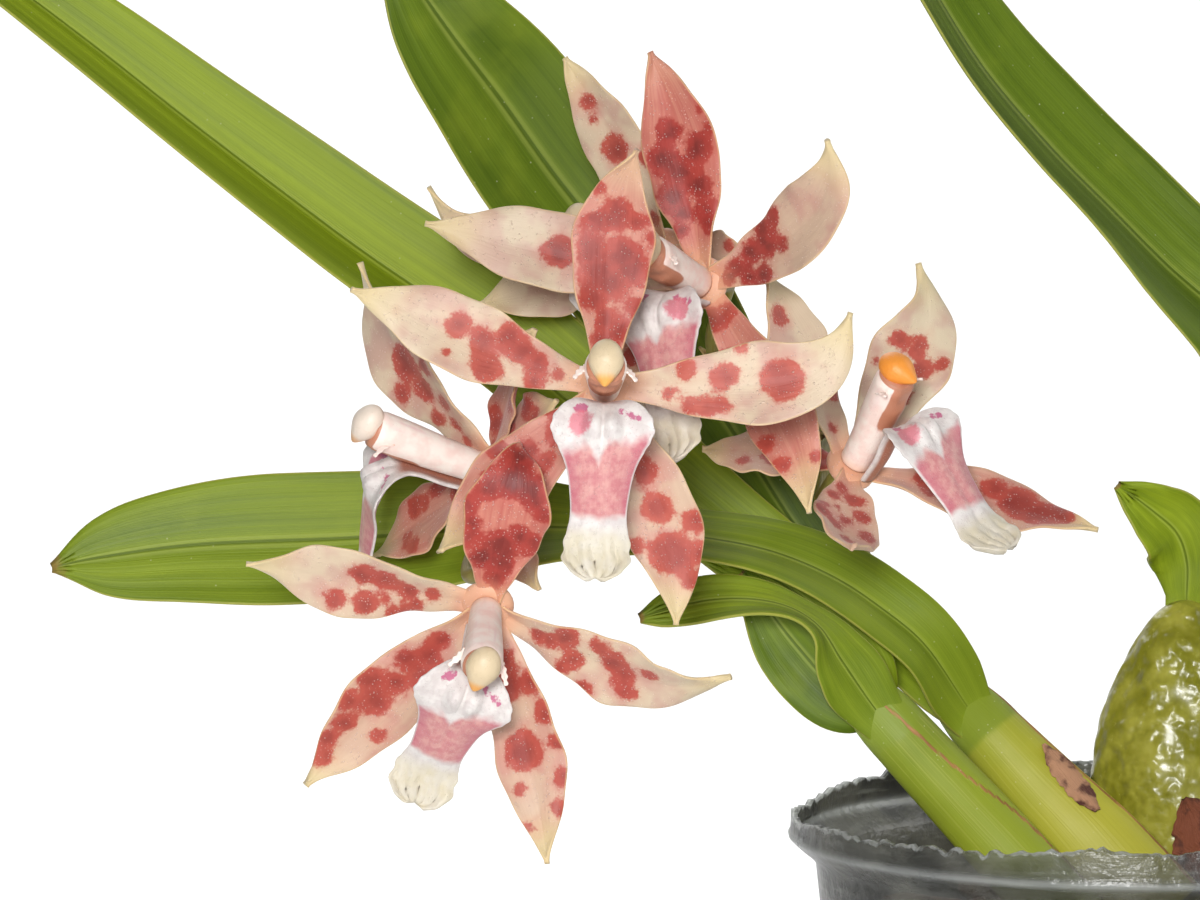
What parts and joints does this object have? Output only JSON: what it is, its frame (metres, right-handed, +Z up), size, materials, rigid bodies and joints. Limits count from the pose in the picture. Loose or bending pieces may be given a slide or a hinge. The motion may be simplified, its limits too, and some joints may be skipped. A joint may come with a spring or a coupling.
{
  "type": "potted orchid",
  "caption": "Orchid plant with spotted star-shaped blooms on an arching stem, strap leaves and a wrinkled pseudobulb, in a clear plastic pot filled with bark.",
  "frame": {"origin": "centre of the pot's underside, on the surface it stands on", "axes": "+Z up, the blooms face -Y, the leaves lean towards -X"},
  "size_m": [0.1907, 0.1057, 0.1885],
  "materials": {
    "pot_plastic": "clear grey thin-walled plastic, lightly hazed",
    "bark": "rough damp brown bark chips",
    "root": "matt grey-green and tan root skin",
    "bulb": "glossy wrinkled yellow-green skin",
    "sheath": "smooth satin yellow-green",
    "leaf": "satin green with parallel veins",
    "dry_bract": "dry papery brown",
    "stem": "satin green-brown",
    "tepal": "soft sparkling cream with crimson blotches",
    "lip": "soft white with a rose-pink middle",
    "column": "soft pinkish white with a cream cap"
  },
  "bodies": {
    "root": {"pot": "pot_plastic", "bark": "bark", "rhizome_roots": "root", "pseudobulb": "bulb", "shoot_front": "sheath", "shoot_left": "sheath", "shoot_right": "sheath", "leaf_long_left": "leaf", "leaf_upper_left": "leaf", "leaf_upper": "leaf", "leaf_low_tip": "leaf", "leaf_low_dark": "leaf", "leaf_low_bright": "leaf", "leaf_tall_right": "leaf", "leaf_bulb_top": "leaf", "dry_bract_front": "dry_bract", "dry_bract_bulb": "dry_bract", "flower_stem": "stem", "bloom_1_tepals": "tepal", "bloom_1_lip": "lip", "bloom_1_column": "column", "bloom_2_tepals": "tepal", "bloom_2_lip": "lip", "bloom_2_column": "column", "bloom_3_tepals": "tepal", "bloom_3_lip": "lip", "bloom_3_column": "column", "bloom_4_tepals": "tepal", "bloom_4_lip": "lip", "bloom_4_column": "column", "bloom_5_tepals": "tepal", "bloom_5_lip": "lip", "bloom_5_column": "column", "bloom_6_tepals": "tepal", "bloom_6_lip": "lip", "bloom_6_column": "column"}
  },
  "joints": []
}
